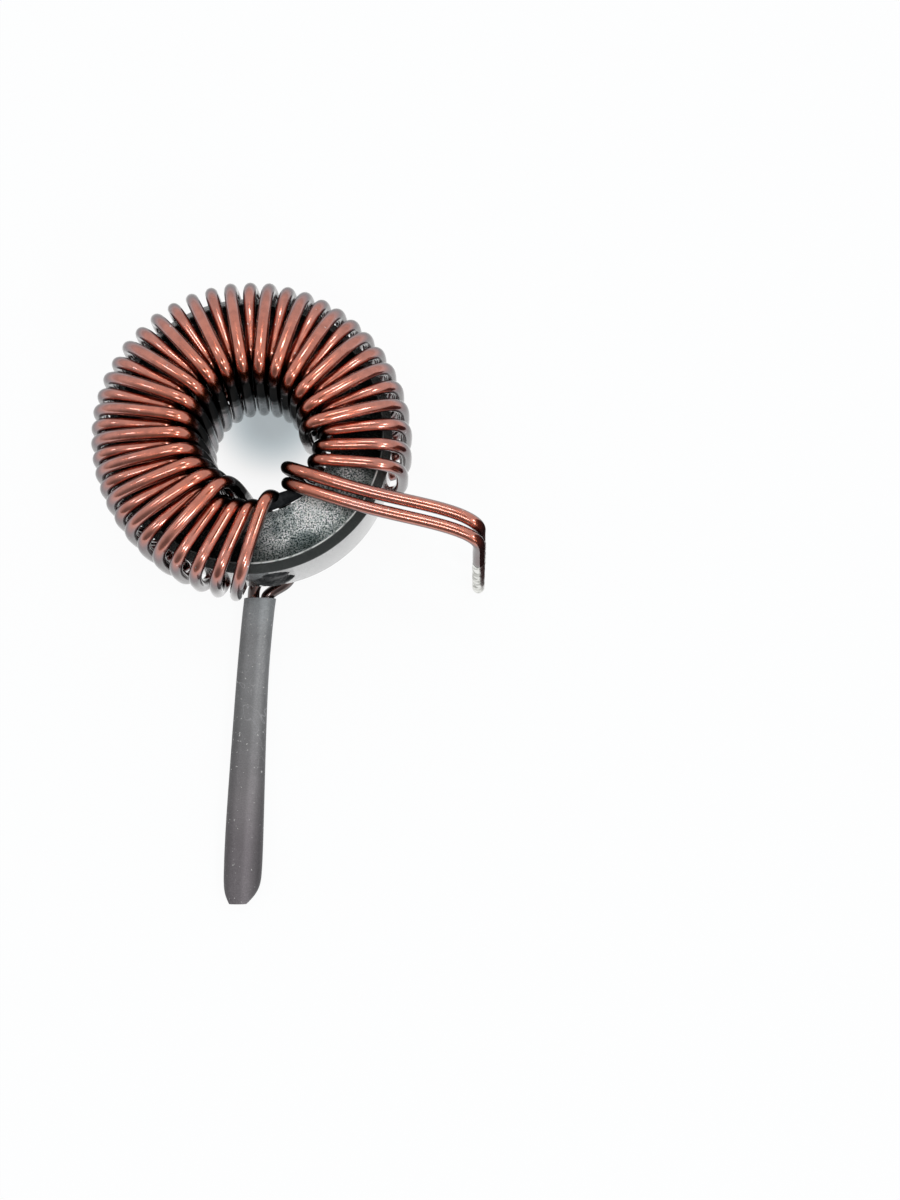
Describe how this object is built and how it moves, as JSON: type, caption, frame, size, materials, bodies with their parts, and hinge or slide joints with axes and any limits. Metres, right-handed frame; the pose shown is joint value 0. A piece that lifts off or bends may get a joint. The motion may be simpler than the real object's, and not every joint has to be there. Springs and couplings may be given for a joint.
{
  "type": "toroidal inductor",
  "caption": "Ring-core power choke wound with two stiff enamelled copper wires side by side, with a sleeved pair lead and two tinned leads bent down beside the ring.",
  "frame": {"origin": "on the ring's axis, in the plane that the winding lies on", "axes": "+Z along the ring's axis, up from the plane it lies on; +X towards the side where the two tinned leads come down; the sleeved lead runs towards -Y"},
  "size_m": [0.0584, 0.0913, 0.0248],
  "materials": {
    "core_coating": "glossy dark green-black epoxy coating with a fine grain",
    "enamelled_copper": "clear glossy enamel over copper",
    "sleeve": "matte grey shrink tube with light scuffs",
    "solder": "bright uneven tin solder"
  },
  "bodies": {
    "root": {"core": "core_coating", "strand_a": "enamelled_copper", "strand_b": "enamelled_copper", "lead_sleeve": "sleeve", "solder_tip_a": "solder", "solder_tip_b": "solder"}
  },
  "joints": []
}
